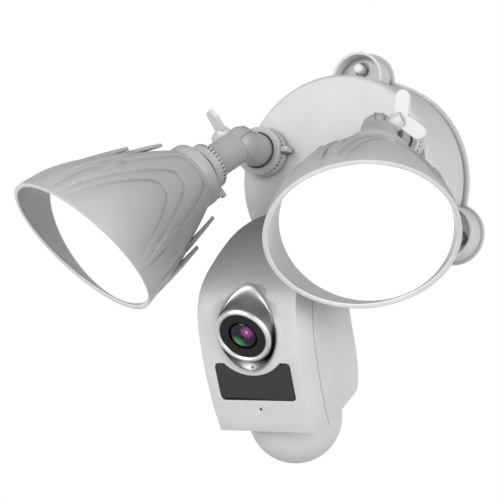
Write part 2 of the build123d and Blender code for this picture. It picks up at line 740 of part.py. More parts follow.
def camera_neck():
    """Turret that pans in the base's fork and carries the tilt axis."""
    turret = Pos(0, PAN_Y, 0) * (rod(7.6, NECK_Z - 7.7, NECK_Z + 7.7) + rod(3.0, NECK_Z - 11, NECK_Z + 11))
    stem = block(-4, 4, TILT_Y, PAN_Y, NECK_Z - 4, NECK_Z + 4)
    barrel = Pos(0, TILT_Y, NECK_Z) * cross_rod(6.0, -9.2, 9.2)
    return turret + stem + barrel - Pos(0, TILT_Y, NECK_Z) * cross_rod(2.5 + FIT, -20, 20)


def camera_hinge_pin():
    """Steel pin of the tilt axis, held in the rear shell's ears."""
    return Pos(0, TILT_Y, NECK_Z) * cross_rod(2.5, -13.4, 13.4)


# --- write every piece ----------------------------------------------------------------------


def save_base():
    """Pieces that stay with the wall."""
    save("mounting_bracket", OUT * mounting_bracket())
    save("wall_gasket", OUT * wall_gasket())
    save("base_shell", OUT * base_shell())
    save("ear_screws", OUT * ear_screws())
    save("cable_grommet", OUT * cable_grommet())
    save("terminal_block", OUT * terminal_block())
    save("driver_board", OUT * driver_board())
    save("driver_components", OUT * driver_components())
    save("fixing_screws", OUT * fixing_screws())
    save("camera_neck_socket", OUT * camera_neck_socket())


def save_arm(side, arm):
    """One lamp with everything from its socket outwards."""
    swivel = arm_frame(arm)
    pivot = swivel * Pos(0, 0, KNUCKLE_HEIGHT)
    knuckle = lamp_frame(arm)
    head = head_frame(arm)
    save(f"{side}_arm_collar", OUT * arm_collar(arm))
    save(f"{side}_arm_lock_ring", OUT * arm_lock_ring(arm))
    save(f"{side}_arm_elbow", swivel * arm_elbow(arm))
    save(f"{side}_arm_retainer", swivel * arm_retainer())
    save(f"{side}_pivot_nut", pivot * pivot_nut(arm))
    save(f"{side}_wing_screw", pivot * wing_screw(arm))
    save(f"{side}_lamp_elbow", knuckle * lamp_elbow())
    save(f"{side}_head_lock_ring", head * head_lock_ring(arm))
    save(f"{side}_head_collar", head * head_collar())
    save(f"{side}_lamp_shade", head * lamp_shade())
    save(f"{side}_heat_sink", head * heat_sink())
    save(f"{side}_led_board", head * led_board())
    save(f"{side}_led_chips", head * led_chips())
    save(f"{side}_reflector", head * reflector())
    save(f"{side}_diffuser", head * diffuser())


def save_camera():
    """The camera head."""
    shell = camera_shell()
    save("camera_front_shell", camera_front_shell(shell))
    save("camera_rear_shell", camera_rear_shell(shell))
    save("lens_surround", lens_surround())
    save("lens_bezel", lens_bezel())
    save("lens_window", lens_window())
    save("lens_glass", lens_glass())
    save("lens_barrel", lens_barrel())
    save("sensor_board", sensor_board())
    save("infrared_window", infrared_window())
    save("infrared_leds", infrared_leds())
    save("camera_board", camera_board())
    save("siren_speaker", siren_speaker())
    save("microphones", microphones())
    save("motion_dome", motion_dome())
    save("motion_sensor", motion_sensor())
    save("reset_button", reset_button())
    save("card_hatch", card_hatch())
    save("housing_screws", housing_screws())
    save("camera_neck", camera_neck())
    save("camera_hinge_pin", camera_hinge_pin())


os.makedirs("parts", exist_ok=True)
save_base()
for side_name, side_arm in ARMS.items():
    save_arm(side_name, side_arm)
save_camera()
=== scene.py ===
import json
import math

import bpy
import numpy as np
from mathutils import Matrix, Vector
from mathutils.bvhtree import BVHTree


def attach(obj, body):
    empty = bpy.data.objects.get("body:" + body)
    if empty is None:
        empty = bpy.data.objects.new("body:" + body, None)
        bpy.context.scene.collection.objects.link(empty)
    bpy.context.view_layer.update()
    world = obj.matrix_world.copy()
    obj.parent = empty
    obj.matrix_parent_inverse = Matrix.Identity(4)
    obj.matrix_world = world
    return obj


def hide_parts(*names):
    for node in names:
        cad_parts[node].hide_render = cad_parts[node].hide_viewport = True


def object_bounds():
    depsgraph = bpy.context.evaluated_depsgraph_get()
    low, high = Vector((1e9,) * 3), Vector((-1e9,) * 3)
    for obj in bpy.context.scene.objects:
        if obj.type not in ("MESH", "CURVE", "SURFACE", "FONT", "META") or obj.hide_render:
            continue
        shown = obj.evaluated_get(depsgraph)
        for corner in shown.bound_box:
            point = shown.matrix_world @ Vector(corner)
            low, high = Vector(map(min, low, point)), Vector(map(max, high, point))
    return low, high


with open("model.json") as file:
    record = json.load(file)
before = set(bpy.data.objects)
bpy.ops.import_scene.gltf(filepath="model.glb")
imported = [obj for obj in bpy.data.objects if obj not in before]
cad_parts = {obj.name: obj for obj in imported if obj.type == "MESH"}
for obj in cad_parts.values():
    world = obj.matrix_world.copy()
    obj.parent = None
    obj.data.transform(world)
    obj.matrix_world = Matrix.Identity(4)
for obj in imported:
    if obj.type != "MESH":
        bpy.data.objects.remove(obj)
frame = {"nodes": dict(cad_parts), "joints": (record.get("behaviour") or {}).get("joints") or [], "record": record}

# Looks of the floodlight security camera. Metres, in the CAD frame: +Z is up and -Y points out of the wall.

cad_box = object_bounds()
MM = 0.001
# how near a surface has to be to darken another with painted shade: in plastic grooves, and in the hollow round
# the lens
GROOVE_REACH = 3 * MM
HOLLOW_REACH = 11 * MM
joints = {joint["name"]: joint for joint in frame["joints"]}

# --- materials ------------------------------------------------------------------------------


class Nodes:
    """A material's node tree, with short ways to add the nodes used here."""

    def __init__(self, name):
        self.material = bpy.data.materials.new(name)
        self.material.use_nodes = True
        self.tree = self.material.node_tree
        self.shader = self.tree.nodes["Principled BSDF"]
        self.place = self.add("ShaderNodeTexCoord").outputs["Object"]

    def add(self, kind, **values):
        node = self.tree.nodes.new(kind)
        for name, value in values.items():
            setattr(node, name, value)
        return node

    def link(self, source, target):
        self.tree.links.new(source, target)

    def noise(self, scale, detail=3.0, stretch=None):
        """Noise of a size given in cycles per metre, stretched along an axis if asked."""
        node = self.add("ShaderNodeTexNoise")
        node.inputs["Scale"].default_value = scale
        node.inputs["Detail"].default_value = detail
        source = self.place
        if stretch:
            mapping = self.add("ShaderNodeMapping")
            mapping.inputs["Scale"].default_value = stretch
            self.link(source, mapping.inputs["Vector"])
            source = mapping.outputs["Vector"]
        self.link(source, node.inputs["Vector"])
        return node.outputs["Fac"]

    def ramp(self, source, stops):
        """Colours at places along a value from 0 to 1."""
        node = self.add("ShaderNodeValToRGB")
        ramp = node.color_ramp
        while len(ramp.elements) < len(stops):
            ramp.elements.new(0.5)
        for element, (place, colour) in zip(ramp.elements, stops):
            element.position = place
            element.color = (*colour, 1.0)
        self.link(source, node.inputs["Fac"])
        return node.outputs["Color"]

    def spread(self, source, low, high):
        """Map a noise value to a range."""
        node = self.add("ShaderNodeMapRange")
        node.inputs["From Min"].default_value = 0.3
        node.inputs["From Max"].default_value = 0.7
        node.inputs["To Min"].default_value = low
        node.inputs["To Max"].default_value = high
        self.link(source, node.inputs["Value"])
        return node.outputs["Result"]

    def bump(self, source, strength, depth):
        node = self.add("ShaderNodeBump")
        node.inputs["Strength"].default_value = strength
        node.inputs["Distance"].default_value = depth
        self.link(source, node.inputs["Height"])
        self.link(node.outputs["Normal"], self.shader.inputs["Normal"])

    def set(self, **values):
        for name, value in values.items():
            self.shader.inputs[name.replace("_", " ")].default_value = value

    def paint_crease_shade(self, depth, darkest):
        """Paint shade into the base colour: darker where the surface lies in a groove or a corner."""
        crease = self.add("ShaderNodeAmbientOcclusion", samples=8)
        crease.inputs["Distance"].default_value = depth
        shade = self.ramp(crease.outputs["AO"], [(0.30, (darkest,) * 3), (0.92, (1.0,) * 3)])
        mix = self.add("ShaderNodeMix", data_type="RGBA", blend_type="MULTIPLY")
        mix.inputs["Factor"].default_value = 1.0
        self.link(self.shader.inputs["Base Color"].links[0].from_socket, mix.inputs["A"])
        self.link(shade, mix.inputs["B"])
        self.link(mix.outputs["Result"], self.shader.inputs["Base Color"])


def shaded(colour, factor):
    return tuple(min(1.0, channel * factor) for channel in colour)


def moulded(name, colour, rough=(0.40, 0.50), mottle=0.025, grain=2600.0, relief=0.02, crease=None,
            **shader):
    """Moulded plastic or rubber: mottling, uneven gloss and a fine grain, with painted shade in its grooves if
    asked.
    """
    nodes = Nodes(name)
    stops = [(0.35, shaded(colour, 1 - mottle)), (0.65, shaded(colour, 1 + mottle))]
    nodes.link(nodes.ramp(nodes.noise(38.0), stops), nodes.shader.inputs["Base Color"])
    nodes.link(nodes.spread(nodes.noise(90.0), *rough), nodes.shader.inputs["Roughness"])
    nodes.bump(nodes.noise(grain, 2.0), relief, 0.0001)
    nodes.set(**shader)
    if crease:
        nodes.paint_crease_shade(GROOVE_REACH, crease)
    return nodes.material


def metal(name, colour, rough=(0.26, 0.36), stretch=(1.0, 40.0, 1.0), lines_shown=0.08, crease=None,
          **shader):
    """Worked metal with fine lines along one direction, and painted shade in its hollows if asked."""
    nodes = Nodes(name)
    lines = nodes.noise(160.0, 4.0, stretch)
    stops = [(0.3, shaded(colour, 1 - lines_shown)), (0.7, shaded(colour, 1 + lines_shown))]
    nodes.link(nodes.ramp(lines, stops), nodes.shader.inputs["Base Color"])
    nodes.link(nodes.spread(lines, *rough), nodes.shader.inputs["Roughness"])
    nodes.bump(lines, 0.04, 0.00005)
    nodes.set(Metallic=1.0, **shader)
    if crease:
        nodes.paint_crease_shade(HOLLOW_REACH, crease)
    return nodes.material


def lit_opal(name, colour, strength):
    """Opal plastic lit from behind."""
    nodes = Nodes(name)
    tint = nodes.ramp(nodes.noise(45.0), [(0.3, shaded(colour, 0.985)), (0.7, colour)])
    nodes.link(tint, nodes.shader.inputs["Base Color"])
    nodes.link(tint, nodes.shader.inputs["Emission Color"])
    nodes.link(nodes.spread(nodes.noise(120.0), 0.32, 0.42), nodes.shader.inputs["Roughness"])
    nodes.set(Emission_Strength=strength)
    return nodes.material


# the middle of the lens and how it looks down, and how far a painted coating reflection's colours reach, in
# millimetres
REFLECTION_REACH = 8.0
LENS_CENTRE = Vector((0.0, -0.1557, -0.0917))
LENS_PITCH = math.radians(34.0)
LENS_UP = Vector((0.0, -math.sin(LENS_PITCH), math.cos(LENS_PITCH)))
LENS_OUT = Vector((0.0, -math.cos(LENS_PITCH), -math.sin(LENS_PITCH)))


def reflection_patch(nodes, across, up, stops):
    """Painted reflection colours by distance from a point on the front of the lens, given in millimetres."""
    away = nodes.add("ShaderNodeVectorMath", operation="DISTANCE")
    away.inputs[1].default_value = LENS_CENTRE + (Vector((across, 0, 0)) + LENS_UP * up) * MM
    nodes.link(nodes.place, away.inputs[0])
    scaled = nodes.add("ShaderNodeMath", operation="MULTIPLY")
    scaled.inputs[1].default_value = 1 / (REFLECTION_REACH * MM)
    nodes.link(away.outputs["Value"], scaled.inputs[0])
    return nodes.ramp(scaled.outputs["Value"], stops)


def blended(nodes, first, second, kind):
    mix = nodes.add("ShaderNodeMix", data_type="RGBA", blend_type=kind)
    mix.inputs["Factor"].default_value = 1.0
    nodes.link(first, mix.inputs["A"])
    nodes.link(second, mix.inputs["B"])
    return mix.outputs["Result"]


def glass_with_painted_reflections(name):
    """Dark lens with painted reflections, glowing: magenta and green coating reflections and bright rings round a
    black pupil.
    """
    nodes = Nodes(name)
    black = (0.004, 0.004, 0.006)
    magenta = reflection_patch(nodes, 3.0, 2.4, [
        (0.04, (0.70, 0.50, 0.68)), (0.10, (0.24, 0.04, 0.19)), (0.46, black)])
    green = reflection_patch(nodes, -3.2, -3.4, [
        (0.08, (0.05, 0.20, 0.06)), (0.34, (0.02, 0.09, 0.03)), (0.56, black)])
    rings = reflection_patch(nodes, 0.0, 0.0, [
        (0.18, (0.10,) * 3), (0.26, (0.95,) * 3), (0.40, (0.35,) * 3), (0.46, (1.0,) * 3),
        (0.62, (0.45,) * 3), (0.67, (0.95,) * 3), (0.80, (0.12,) * 3)])
    # the painted reflections go into both the colour and the glow
    painted_glow = blended(nodes, blended(nodes, magenta, green, "ADD"), rings, "MULTIPLY")
    nodes.link(painted_glow, nodes.shader.inputs["Base Color"])
    nodes.link(painted_glow, nodes.shader.inputs["Emission Color"])
    nodes.link(nodes.spread(nodes.noise(400.0), 0.03, 0.06), nodes.shader.inputs["Roughness"])
    nodes.set(Emission_Strength=0.9, Specular_IOR_Level=0.15, Coat_Weight=0.25, Coat_Roughness=0.02)
    return nodes.material


def circuit_board(name):
    """Green solder mask with paler copper tracks under it."""
    nodes = Nodes(name)
    tracks = nodes.add("ShaderNodeTexBrick")
    tracks.inputs["Scale"].default_value = 160.0
    tracks.inputs["Color1"].default_value = (0.02, 0.13, 0.05, 1)
    tracks.inputs["Color2"].default_value = (0.03, 0.17, 0.07, 1)
    tracks.inputs["Mortar"].default_value = (0.06, 0.25, 0.11, 1)
    nodes.link(nodes.place, tracks.inputs["Vector"])
    nodes.link(tracks.outputs["Color"], nodes.shader.inputs["Base Color"])
    nodes.link(nodes.spread(nodes.noise(300.0), 0.3, 0.45), nodes.shader.inputs["Roughness"])
    return nodes.material


# the crease numbers give how dark the painted shade in grooves and hollows gets
MATERIALS = {
    "base_plastic": moulded("base_plastic", (0.56, 0.555, 0.565), crease=0.35),
    "lamp_plastic": moulded("lamp_plastic", (0.45, 0.443, 0.455), rough=(0.34, 0.44), crease=0.35),
    "ring_plastic": moulded("ring_plastic", (0.48, 0.475, 0.485), rough=(0.34, 0.44), crease=0.25),
    # lighter and darker copies of the one white plastic: painted light on the lamp rims and wing screws, painted
    # shade on the elbows
    "rim_lit_plastic": moulded("rim_lit_plastic", (0.60, 0.595, 0.605), rough=(0.34, 0.44)),
    "wing_lit_plastic": moulded("wing_lit_plastic", (0.64, 0.635, 0.645), rough=(0.34, 0.44), crease=0.35),
    "elbow_shaded_plastic": moulded("elbow_shaded_plastic", (0.37, 0.365, 0.375), rough=(0.34, 0.44), crease=0.35),
    "diffuser_opal": lit_opal("diffuser_opal", (1.0, 1.0, 1.0), 1.6),
    "dome_opal": moulded("dome_opal", (0.56, 0.555, 0.56), rough=(0.34, 0.44), mottle=0.012),
    "satin_trim": metal(
        "satin_trim", (0.44, 0.435, 0.42), rough=(0.33, 0.38), stretch=(1, 1, 1), lines_shown=0.02,
        crease=0.02),
    "bright_ring": metal(
        "bright_ring", (0.74, 0.74, 0.75), rough=(0.34, 0.38), stretch=(1, 1, 1), lines_shown=0.01),
    "black_gloss": moulded(
        "black_gloss", (0.010, 0.010, 0.012), rough=(0.16, 0.24), Specular_IOR_Level=0.25),
    "lens_glass": glass_with_painted_reflections("lens_glass"),
    "smoked_panel": moulded(
        "smoked_panel", (0.030, 0.028, 0.032), rough=(0.22, 0.30), relief=0.01, Specular_IOR_Level=0.3),
    "zinc_plate": metal("zinc_plate", (0.60, 0.61, 0.63)),
    "painted_screw": moulded("painted_screw", (0.66, 0.655, 0.66), rough=(0.3, 0.4)),
    "screw_steel": metal("screw_steel", (0.62, 0.62, 0.63), stretch=(8, 8, 8)),
    "gasket_foam": moulded("gasket_foam", (0.05, 0.05, 0.05), rough=(0.8, 0.95), relief=0.4),
    "grommet_rubber": moulded("grommet_rubber", (0.05, 0.05, 0.05), rough=(0.6, 0.75)),
    "terminal_plastic": moulded("terminal_plastic", (0.40, 0.42, 0.40)),
    "board_green": circuit_board("board_green"),
    "component_black": moulded("component_black", (0.03, 0.03, 0.032), rough=(0.35, 0.5)),
    "heat_sink_metal": metal("heat_sink_metal", (0.66, 0.66, 0.68), rough=(0.4, 0.55)),
    "led_board_white": moulded("led_board_white", (0.80, 0.80, 0.79), rough=(0.3, 0.4)),
    "led_phosphor": moulded("led_phosphor", (0.85, 0.66, 0.12), rough=(0.4, 0.5)),
    "reflector_white": moulded("reflector_white", (0.85, 0.85, 0.84), rough=(0.15, 0.25)),
    "barrel_black": moulded("barrel_black", (0.02, 0.02, 0.02), rough=(0.4, 0.55)),
    "emitter_clear": moulded("emitter_clear", (0.20, 0.16, 0.20), rough=(0.08, 0.14), Coat_Weight=1.0),
    "speaker_black": moulded("speaker_black", (0.03, 0.03, 0.03), rough=(0.6, 0.8), relief=0.2),
    "sensor_metal": metal("sensor_metal", (0.55, 0.52, 0.42)),
}


def crown_shaded(name, top_colour, foot_colour, top, foot, **finish):
    """Moulded plastic with painted shade: its colour darkens towards its crown."""
    material = moulded(name, foot_colour, **finish)
    nodes = material.node_tree.nodes
    links = material.node_tree.links
    shader = nodes["Principled BSDF"]
    parts = nodes.new("ShaderNodeSeparateXYZ")
    height = nodes.new("ShaderNodeMapRange")
    height.interpolation_type = "SMOOTHSTEP"
    height.inputs["From Min"].default_value = top
    height.inputs["From Max"].default_value = foot
    mix = nodes.new("ShaderNodeMix")
    mix.data_type = "RGBA"
    mix.inputs["A"].default_value = (*top_colour, 1.0)
    links.new(nodes["Texture Coordinate"].outputs["Object"], parts.inputs["Vector"])
    links.new(parts.outputs["Z"], height.inputs["Value"])
    links.new(height.outputs["Result"], mix.inputs["Factor"])
    links.new(shader.inputs["Base Color"].links[0].from_socket, mix.inputs["B"])
    links.new(mix.outputs["Result"], shader.inputs["Base Color"])
    return material


# the housing is painted darker towards its top: painted shade
MATERIALS["housing_plastic"] = crown_shaded(
    "housing_crown_shade", (0.14, 0.137, 0.14), (0.55, 0.545, 0.56), -0.026, -0.096, rough=(0.30, 0.38),
    crease=0.3)

# pieces given a darker or lighter copy of their slot's plastic, by the end of their name: painted shade on the
# elbows, painted light on the wing screws
SHADED_OR_LIT_COPY = {"elbow": "elbow_shaded_plastic", "screw": "wing_lit_plastic"}


def dress(piece, finish):
    """Give a piece one of the materials."""
    piece.data.materials.clear()
    piece.data.materials.append(MATERIALS[finish])


for part in frame["record"]["subparts"]:
    kind = part["node"].split("_")[-1]
    dress(frame["nodes"][part["node"]], SHADED_OR_LIT_COPY.get(kind, part["material_slot"]))

# --- soft edges on the moulded pieces ---------------------------------------------------------

# node name ending and the width of its rounded edges, in millimetres
SOFT_EDGES = (("camera_front_shell", 0.9), ("camera_rear_shell", 0.9), ("base_shell", 0.7),
              ("head_collar", 0.5), ("arm_collar", 0.3), ("infrared_window", 0.3), ("lens_bezel", 0.25),
              ("ear_screws", 0.4), ("mounting_bracket", 0.2))
SAME_POINT = 0.01 * MM
SHARP_ANGLE = math.radians(32)


def soften(piece, width):
    """Weld the imported triangles and round the piece's edges."""
    weld = piece.modifiers.new("weld", "WELD")
    weld.merge_threshold = SAME_POINT
    bevel = piece.modifiers.new("round", "BEVEL")
    bevel.width = width * MM
    bevel.segments = 3
    bevel.limit_method = "ANGLE"
    bevel.angle_limit = SHARP_ANGLE
    bevel.use_clamp_overlap = True
    bevel.harden_normals = True


for name, piece in frame["nodes"].items():
    for ending, width in SOFT_EDGES:
        if name.endswith(ending):
            soften(piece, width)

# --- lamp shades ----------------------------------------------------------------------------

# outer radius of the bell against the distance from the tilt axis, in millimetres
SHADE_CURVE = ((43, 18.3), (53, 23.0), (66, 28.6), (82, 34.6),
               (96, 39.4), (108, 42.5), (118, 43.9), (132, 43.6))
SHADE_START = 43.0
SHADE_WALL = 2.3
MOUTH_DISTANCE = 116.6
MOUTH_SLANT = math.radians(16.0)
HOOD_ANGLE = math.radians(48.0)
ROLL = {"left": math.radians(60.0), "right": math.radians(38.0)}
# painted light from the diffuser on the lining fades between these distances from the tilt axis
GLOW_START = 103.0
GLOW_END = 104.3
GLOW_STRENGTH = 0.8
COLUMNS = 640
ROWS = 260
# the rounded rim, outside to inside: distance in from the outside, and how far past the cut
RIM_PROFILE = ((0.35, -0.05), (1.15, 0.075), (1.95, -0.05), (SHADE_WALL, -0.35))
LINING_ROWS = 40
CAP_FLOOR = 3.0

# nested arches on the smooth side: where each starts, half angles on its two sides, how square it is, taper
ARCHES = ((75.0, 31.0, 36.0, 2.3, 0.0), (60.0, 36.0, 40.0, 2.9, 0.0), (44.5, 52.0, 51.0, 7.0, 0.16))
# each plate has a fine lip and a step down that levels out; all relief fades towards the rim and the cap
STEP = 1.25
STEP_FADE = 8.0
LIP = 0.25
LIP_FADE = 1.6
EDGE_WIDTH = 0.4
STRIP_EDGE_WIDTH = 0.6
DEEPEST = 1.7
RIM_FADE = 20.0
CAP_FADE = 1.5
# raised strips: centre angle, half width, where the strip starts, height
STRIPS = ((40.0, 5.5, 82.0, 1.1), (-40.0, 5.5, 78.0, 1.2), (56.0, 6.0, 70.0, 1.1),
          (-58.0, 6.0, 84.0, 1.3), (-74.0, 6.0, 74.0, 1.2), (74.0, 7.0, 84.0, 0.9),
          (98.0, 8.0, 76.0, 0.9), (-100.0, 8.0, 86.0, 0.9), (122.0, 8.0, 88.0, 0.8),
          (-126.0, 8.0, 76.0, 0.8), (148.0, 8.0, 76.0, 0.8), (-152.0, 8.0, 84.0, 0.8),
          (178.0, 9.0, 92.0, 0.8))
# free blades: centre angle, half width, root and tip as (distance, radius), and how blunt the tip is
BLADES = ((74.0, 12.0, (74.0, 31.6), (45.5, 24.2), 6.0), (72.0, 13.0, (104.0, 41.4), (65.5, 32.2), 6.0),
          (-84.0, 10.0, (78.0, 33.0), (44.5, 25.6), 1.6), (-84.0, 11.0, (98.0, 40.2), (64.0, 33.8), 1.6))
# a blade's thickness at its root, and how much thinner it is at its tip
BLADE_THICKNESS = 2.4
BLADE_THINNING = 0.8
BLADE_ROWS = 26
BLADE_COLUMNS = 15

curve_fit = np.polyfit([t for t, r in SHADE_CURVE], [r for t, r in SHADE_CURVE], 5)


def bell(t):
    return np.polyval(curve_fit, t)


def rim_distance(angle):
    """Where the slanted mouth plane cuts the bell at an angle about the lamp's axis."""
    lean = np.tan(MOUTH_SLANT) * np.cos(angle - HOOD_ANGLE)
    t = np.full_like(angle, MOUTH_DISTANCE)
    for step in range(20):
        t = MOUTH_DISTANCE + bell(t) * lean
    return t


def smooth(x):
    x = np.clip(x, 0.0, 1.0)
    return x * x * (3 - 2 * x)


def edge_distance(field, spacing_t, spacing_angle):
    """Distance in millimetres to a field's zero line."""
    slope_t, slope_angle = np.gradient(field)
    steep = np.hypot(slope_t / spacing_t, slope_angle / spacing_angle)
    return field / np.maximum(steep, 1e-6)


def shade_relief(angle, t, rim):
    """Height of the stepped feathers over the plain bell, in millimetres."""
    degrees = np.degrees(angle)
    spacing_t = np.gradient(t, axis=0)
    spacing_angle = bell(t) * 2 * math.pi / COLUMNS
    share = (t - SHADE_START) / (rim - SHADE_START)
    relief = np.zeros_like(t)
    for start, plus, minus, power, taper in ARCHES:
        half = np.where(degrees > 0, plus, minus) * (1 - taper * share)
        field = t - start - (rim - start) * np.minimum(np.abs(degrees) / half, 3.0) ** power
        near = edge_distance(field, spacing_t, spacing_angle)
        relief -= STEP * smooth(near / EDGE_WIDTH + 0.5) * np.exp(-np.maximum(near, 0.0) / STEP_FADE)
        relief += LIP * smooth(0.5 - near / EDGE_WIDTH) * np.exp(np.minimum(near, 0.0) / LIP_FADE)
    for centre, half, start, height in STRIPS:
        along = np.clip((t - start) / (rim - start), 0.0, 1.0)
        middle = centre * (1 - 0.10 * along) if abs(centre) < 100 else centre + 0 * along
        across = np.abs((degrees - middle + 180) % 360 - 180)
        width = half * np.clip((t - start) / 9.0, 0.0, 1.0) ** 0.6 * (1 - 0.45 * along)
        near = edge_distance(width - across, spacing_t, spacing_angle)
        raised = smooth(near / STRIP_EDGE_WIDTH + 0.5) * np.where(t > start, 1.0, 0.0)
        relief += height * raised * (1 - 0.6 * along)
    relief = np.maximum(relief, -DEEPEST)
    return relief * smooth((rim - t) / RIM_FADE) ** 0.7 * smooth((t - SHADE_START) / CAP_FADE)


def ring_faces(rows, columns):
    """Quads between closed rings of points."""
    faces = []
    for i in range(rows - 1):
        for j in range(columns):
            k = (j + 1) % columns
            faces.append((i * columns + j, i * columns + k, (i + 1) * columns + k, (i + 1) * columns + j))
    return faces


def shade_points():
    """Rings of (radius, angle, distance) from the cap, over the outside, round the rim and back inside."""
    angle = np.linspace(-math.pi, math.pi, COLUMNS, endpoint=False)
    rim = rim_distance(angle)
    share = np.linspace(0.0, 1.0, ROWS)[:, None]
    t = SHADE_START + share * (rim - SHADE_START)
    turn = np.broadcast_to(angle, t.shape)
    outside = bell(t) + shade_relief(turn, t, rim)
    rings = [np.stack([outside[i], angle, t[i]], axis=1) for i in range(ROWS)]
    for inset, past in RIM_PROFILE:
        rings.append(np.stack([bell(rim) - inset, angle, rim + past], axis=1))
    floor = SHADE_START + CAP_FLOOR
    for share_in in np.linspace(0.985, 0.0, LINING_ROWS):
        depth = floor + share_in * (rim - floor)
        rings.append(np.stack([bell(depth) - SHADE_WALL, angle, depth], axis=1))
    return np.array(rings)


def blade_points(centre, half, root, tip, power):
    """A thin curved plate that leaves the bell at its root and ends free."""
    count, across = BLADE_ROWS, BLADE_COLUMNS
    outer, inner = [], []
    for u in np.linspace(0.0, 1.0, count):
        width = half * max(1 - u ** power, 0.0) ** 0.5 + 0.25
        distance = root[0] + u * (tip[0] - root[0])
        radius = root[1] + u * (tip[1] - root[1]) + 0.5 * math.sin(math.pi * u)
        for v in np.linspace(-1.0, 1.0, across):
            spot = math.radians(centre + v * width)
            lower = 0.25 * v * v
            outer.append((radius - lower, spot, distance))
            thickness = BLADE_THICKNESS - BLADE_THINNING * u
            inner.append((radius - lower - thickness, spot, distance))
    faces = []
    size = count * across
    for i in range(count - 1):
        for j in range(across - 1):
            a = i * across + j
            faces.append((a, a + 1, a + across + 1, a + across))
            faces.append((size + a, size + a + across, size + a + across + 1, size + a + 1))
    for i in range(count - 1):
        for j in (0, across - 1):
            a, b = i * across + j, (i + 1) * across + j
            faces.append((a, b, size + b, size + a) if j == 0 else (b, a, size + a, size + b))
    for i in (0, count - 1):
        for j in range(across - 1):
            a = i * across + j
            quad = (a, a + 1, size + a + 1, size + a)
            faces.append((a + 1, a, size + a, size + a + 1) if i == 0 else quad)
    return np.array(outer + inner), faces


def lamp_axes(side):
    """Knuckle centre, lamp axis and the two directions across it, rolled with the head."""
    tilt = joints[f"{side}_lamp_tilt"]
    out = Vector(joints[f"{side}_head_roll"]["axis"]).normalized()
    flat = Vector(tilt["axis"]).normalized()
    cross = out.cross(flat)
    smooth_side = flat * math.cos(ROLL[side]) + cross * math.sin(ROLL[side])
    return Vector(tilt["pos_m"]), out, smooth_side, out.cross(smooth_side)


def into_frame(side, points):
    """(radius, angle, distance) in millimetres to the row frame in metres."""
    knuckle, out, first, second = (np.array(v) for v in lamp_axes(side))
    radius, angle, t = (points[:, i:i + 1] * (1 if i == 1 else MM) for i in range(3))
    return knuckle + out * t + first * radius * np.cos(angle) + second * radius * np.sin(angle)


def add_mesh(name, points, faces):
    mesh = bpy.data.meshes.new(name)
    mesh.from_pydata([tuple(p) for p in points], [], faces)
    mesh.shade_smooth()
    piece = bpy.data.objects.new(name, mesh)
    bpy.context.collection.objects.link(piece)
    return piece


def lining(side):
    """Inside of the bell: a darker copy of the lamp plastic for painted shade, with painted light from the
    diffuser glowing on it close to the diffuser.
    """
    material = moulded(f"{side}_lining_painted_shade_and_light", (0.15, 0.148, 0.152), rough=(0.4, 0.5))
    nodes, links = material.node_tree.nodes, material.node_tree.links
    knuckle, out = lamp_axes(side)[:2]
    offset = nodes.new("ShaderNodeVectorMath")
    offset.operation = "SUBTRACT"
    offset.inputs[1].default_value = knuckle
    along = nodes.new("ShaderNodeVectorMath")
    along.operation = "DOT_PRODUCT"
    along.inputs[1].default_value = out
    painted_glow = nodes.new("ShaderNodeMapRange")
    painted_glow.interpolation_type = "SMOOTHERSTEP"
    painted_glow.inputs["From Min"].default_value = GLOW_END * MM
    painted_glow.inputs["From Max"].default_value = GLOW_START * MM
    painted_glow.inputs["To Max"].default_value = GLOW_STRENGTH
    links.new(nodes["Texture Coordinate"].outputs["Object"], offset.inputs[0])
    links.new(offset.outputs["Vector"], along.inputs[0])
    links.new(along.outputs["Value"], painted_glow.inputs["Value"])
    shader = nodes["Principled BSDF"]
    links.new(painted_glow.outputs["Result"], shader.inputs["Emission Strength"])
    shader.inputs["Emission Color"].default_value = (1.0, 1.0, 1.0, 1.0)
    return material


def add_lamp_shade(side):
    """The bell with its stepped feathers and free blades."""
    rings = shade_points()
    rows = rings.shape[0]
    points = [into_frame(side, rings.reshape(-1, 3))]
    faces = ring_faces(rows, COLUMNS)
    total = rows * COLUMNS
    for blade in BLADES:
        spots, quads = blade_points(*blade)
        points.append(into_frame(side, spots))
        faces += [tuple(total + index for index in quad) for quad in quads]
        total += len(spots)
    shade = add_mesh(f"{side}_shade_skin", np.concatenate(points), faces)
    dress(shade, "lamp_plastic")
    shade.data.materials.append(lining(side))
    shade.data.materials.append(MATERIALS["rim_lit_plastic"])
    rim_start = (ROWS - 1) * COLUMNS
    lining_start = rim_start + len(RIM_PROFILE) * COLUMNS
    # the lining faces take the darker copy with painted light from the diffuser
    for face in shade.data.polygons[lining_start:(rows - 1) * COLUMNS]:
        face.material_index = 1
    # the rim takes a lighter copy of the lamp plastic: painted light from the diffuser
    for face in shade.data.polygons[rim_start:lining_start]:
        face.material_index = 2
    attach(shade, f"{side}_head")
    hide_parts(f"{side}_lamp_shade")


for lamp_side in ("left", "right"):
    add_lamp_shade(lamp_side)

# --- lens surround --------------------------------------------------------------------------

EYE_TOP = -66.3
EYE_BOTTOM = -108.8
EYE_MIDDLE = -88.0
EYE_HALF = 16.3
BEZEL_RADIUS = 14.7
EYE_COLUMNS = 240
SWEEP_ROWS = 40
# height of the sound hole, its rim and bottom as (radius, height over the trim), and its corners
SOUND_HOLE = -106.6
HOLE_PROFILE = ((0.95, 0.02), (0.75, 0.10), (0.62, 0.05))
HOLE_CORNERS = 24
# where the housing's front is felt: beside the opening, from well in front of the object
FELT_BESIDE = 23.5
FELT_FROM = -0.3
# width of the flush border over the egg, and the reach from the egg's middle that it fills elsewhere
BORDER_TOP = 5.5
BORDER_REACH = 22.3


